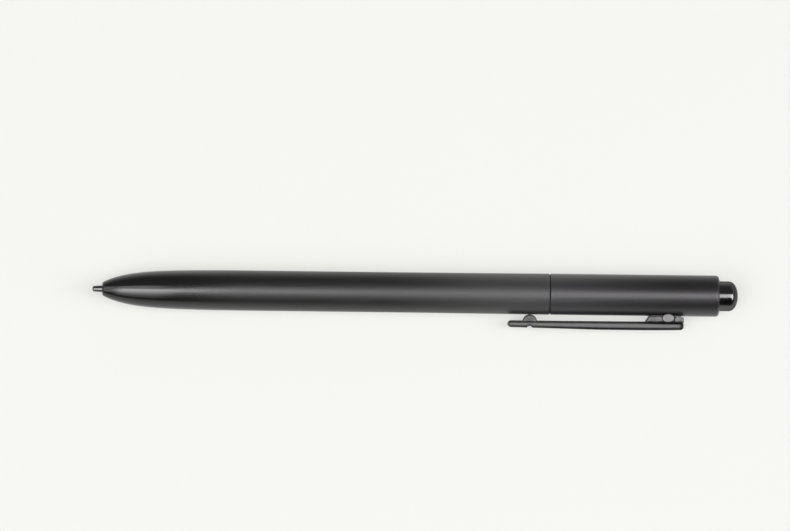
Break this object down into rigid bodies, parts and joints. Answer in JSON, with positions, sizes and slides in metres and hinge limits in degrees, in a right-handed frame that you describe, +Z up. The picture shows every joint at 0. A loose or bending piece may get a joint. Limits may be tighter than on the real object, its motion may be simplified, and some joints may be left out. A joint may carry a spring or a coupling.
{
  "type": "stylus pen",
  "caption": "Slim black active stylus with a tapered nose, a pressure-sensing nib, a screw-off rear section, a glossy tail button and a sprung side clip.",
  "frame": {"origin": "on the ground under the middle of the pen's bounding box, with the pen lying at rest on its barrel and the lower edge of its clip", "axes": "+X along the pen from nib to tail, +Z up, clip on the -Y side"},
  "size_m": [0.1486, 0.013, 0.0095],
  "materials": {
    "satin_black": "fine satin black coating",
    "clip_black": "satin black coating, worn a little at the edges",
    "gloss_black": "polished black",
    "nib_black": "smooth hard black",
    "seam_black": "dull black",
    "pin_steel": "bare turned metal",
    "bezel_grey": "dark anodised",
    "spring_steel": "drawn wire",
    "frame_plastic": "moulded",
    "white_plastic": "moulded",
    "board_green": "solder resist on glass fibre",
    "chip_black": "moulded package",
    "contact_brass": "plated",
    "cell_jacket": "printed steel can",
    "coupling_metal": "turned",
    "shield_metal": "tinned can",
    "plunger_red": "moulded"
  },
  "bodies": {
    "front": {"front_barrel": "satin_black", "nib_bush": "white_plastic", "tip_electrode": "contact_brass", "pressure_sensor": "frame_plastic", "nib_spring": "spring_steel", "board_frame": "frame_plastic", "main_board": "board_green", "control_chip": "chip_black", "boost_coil": "chip_black", "positive_contact": "contact_brass", "battery": "cell_jacket"},
    "nib": {"nib": "nib_black", "nib_holder": "white_plastic"},
    "seam": {"seam_ring": "seam_black"},
    "rear": {"rear_barrel": "satin_black", "threaded_coupling": "coupling_metal", "contact_rivet": "contact_brass", "battery_spring": "spring_steel", "rear_frame": "frame_plastic", "radio_board": "board_green", "radio_chip": "shield_metal", "button_bezel": "bezel_grey", "tail_switch": "frame_plastic", "button_spring": "spring_steel", "clip_lug": "clip_black", "lug_screw": "spring_steel", "clip_spring": "spring_steel"},
    "button": {"tail_button": "gloss_black", "switch_plunger": "plunger_red"},
    "clip": {"clip": "clip_black", "clip_pin": "pin_steel"}
  },
  "joints": [
    {"name": "nib_press", "type": "slide", "parent": "front", "child": "nib", "axis": [1, 0, 0], "range_m": [0, 0.0004], "stiffness_N_per_m": 2000, "springref_m": -0.0002, "deforming": ["nib_spring"]},
    {"name": "cap_travel", "type": "slide", "parent": "front", "child": "seam", "axis": [1, 0, 0], "range_m": [0, 0.004]},
    {"name": "cap_unscrew", "type": "hinge", "parent": "seam", "child": "rear", "pos_m": [0.03132, 0.00174, 0.00473], "axis": [1, 0, 0], "range_deg": [0, 1440]},
    {"name": "button_press", "type": "slide", "parent": "rear", "child": "button", "axis": [-1, 0, 0], "range_m": [0, 0.001], "stiffness_N_per_m": 1200, "springref_m": -0.0008, "deforming": ["button_spring"]},
    {"name": "clip_open", "type": "hinge", "parent": "rear", "child": "clip", "pos_m": [0.05828, -0.00319, 0.00295], "axis": [0, -0.3399, 0.9405], "range_deg": [0, 7], "stiffness_Nm_per_rad": 0.4, "springref_deg": -4.58, "deforming": ["clip_spring"]}
  ],
  "couplings": [
    {"joint": "cap_unscrew", "follows": "cap_travel", "rad_per_m": 6283.2}
  ]
}
